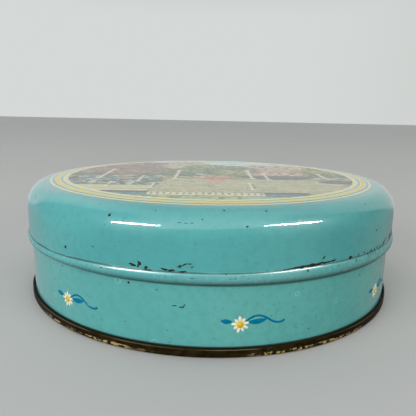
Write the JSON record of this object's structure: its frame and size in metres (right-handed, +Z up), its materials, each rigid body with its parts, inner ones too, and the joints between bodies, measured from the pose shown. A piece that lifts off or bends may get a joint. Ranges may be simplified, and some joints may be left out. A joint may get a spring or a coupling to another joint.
{
  "type": "bobbin box",
  "caption": "Round turquoise tinplate bobbin box with a rounded lift-off lid, a folded base seam, and a lift-out wooden rack of wound bobbins inside.",
  "frame": {"origin": "centre of the base seam, on the surface that the tin stands on", "axes": "+Z up through the lid; -Y is the front, the side from which the lid's picture reads the right way up"},
  "size_m": [0.193, 0.193, 0.056],
  "materials": {
    "lid_enamel": "glossy turquoise enamel with a printed picture inside cream rings, chipped along the crease",
    "body_enamel": "semi-gloss turquoise enamel with small printed daisies, scuffed",
    "base_lacquer": "dull gold-brown lacquer, worn and darkened",
    "plywood": "sanded and oiled birch plywood",
    "dowel": "turned and waxed beech",
    "bobbin_steel": "nickel-bright pressed steel",
    "thread_red": "wound mercerised cotton thread",
    "thread_cream": "wound mercerised cotton thread",
    "thread_blue": "wound mercerised cotton thread",
    "thread_yellow": "wound mercerised cotton thread",
    "thread_green": "wound mercerised cotton thread",
    "thread_rose": "wound mercerised cotton thread"
  },
  "bodies": {
    "tin": {"body_wall": "body_enamel", "base_plate": "base_lacquer"},
    "lid": {"lid_shell": "lid_enamel"},
    "rack": {"rack_board": "plywood", "lift_knob": "dowel", "peg_01": "dowel", "peg_02": "dowel", "peg_03": "dowel", "peg_04": "dowel", "peg_05": "dowel", "peg_06": "dowel", "peg_07": "dowel", "peg_08": "dowel", "peg_09": "dowel", "peg_10": "dowel", "peg_11": "dowel", "peg_12": "dowel"},
    "bobbin_01": {"bobbin_01": "bobbin_steel", "thread_01": "thread_red"},
    "bobbin_02": {"bobbin_02": "bobbin_steel", "thread_02": "thread_cream"},
    "bobbin_03": {"bobbin_03": "bobbin_steel", "thread_03": "thread_blue"},
    "bobbin_04": {"bobbin_04": "bobbin_steel", "thread_04": "thread_yellow"},
    "bobbin_05": {"bobbin_05": "bobbin_steel", "thread_05": "thread_green"},
    "bobbin_06": {"bobbin_06": "bobbin_steel", "thread_06": "thread_rose"},
    "bobbin_07": {"bobbin_07": "bobbin_steel", "thread_07": "thread_red"},
    "bobbin_08": {"bobbin_08": "bobbin_steel", "thread_08": "thread_cream"},
    "bobbin_09": {"bobbin_09": "bobbin_steel", "thread_09": "thread_blue"},
    "bobbin_10": {"bobbin_10": "bobbin_steel", "thread_10": "thread_yellow"},
    "bobbin_11": {"bobbin_11": "bobbin_steel", "thread_11": "thread_green"},
    "bobbin_12": {"bobbin_12": "bobbin_steel", "thread_12": "thread_rose"}
  },
  "joints": [
    {"name": "lid_lift", "type": "slide", "parent": "tin", "child": "lid", "axis": [0, 0, 1], "range_m": [0, 0.12]},
    {"name": "rack_lift", "type": "slide", "parent": "tin", "child": "rack", "axis": [0, 0, 1], "range_m": [0, 0.02]},
    {"name": "bobbin_01_lift", "type": "slide", "parent": "rack", "child": "bobbin_01", "axis": [0, 0, 1], "range_m": [0, 0.016]},
    {"name": "bobbin_02_lift", "type": "slide", "parent": "rack", "child": "bobbin_02", "axis": [0, 0, 1], "range_m": [0, 0.016]},
    {"name": "bobbin_03_lift", "type": "slide", "parent": "rack", "child": "bobbin_03", "axis": [0, 0, 1], "range_m": [0, 0.016]},
    {"name": "bobbin_04_lift", "type": "slide", "parent": "rack", "child": "bobbin_04", "axis": [0, 0, 1], "range_m": [0, 0.016]},
    {"name": "bobbin_05_lift", "type": "slide", "parent": "rack", "child": "bobbin_05", "axis": [0, 0, 1], "range_m": [0, 0.016]},
    {"name": "bobbin_06_lift", "type": "slide", "parent": "rack", "child": "bobbin_06", "axis": [0, 0, 1], "range_m": [0, 0.016]},
    {"name": "bobbin_07_lift", "type": "slide", "parent": "rack", "child": "bobbin_07", "axis": [0, 0, 1], "range_m": [0, 0.016]},
    {"name": "bobbin_08_lift", "type": "slide", "parent": "rack", "child": "bobbin_08", "axis": [0, 0, 1], "range_m": [0, 0.016]},
    {"name": "bobbin_09_lift", "type": "slide", "parent": "rack", "child": "bobbin_09", "axis": [0, 0, 1], "range_m": [0, 0.016]},
    {"name": "bobbin_10_lift", "type": "slide", "parent": "rack", "child": "bobbin_10", "axis": [0, 0, 1], "range_m": [0, 0.016]},
    {"name": "bobbin_11_lift", "type": "slide", "parent": "rack", "child": "bobbin_11", "axis": [0, 0, 1], "range_m": [0, 0.016]},
    {"name": "bobbin_12_lift", "type": "slide", "parent": "rack", "child": "bobbin_12", "axis": [0, 0, 1], "range_m": [0, 0.016]}
  ]
}
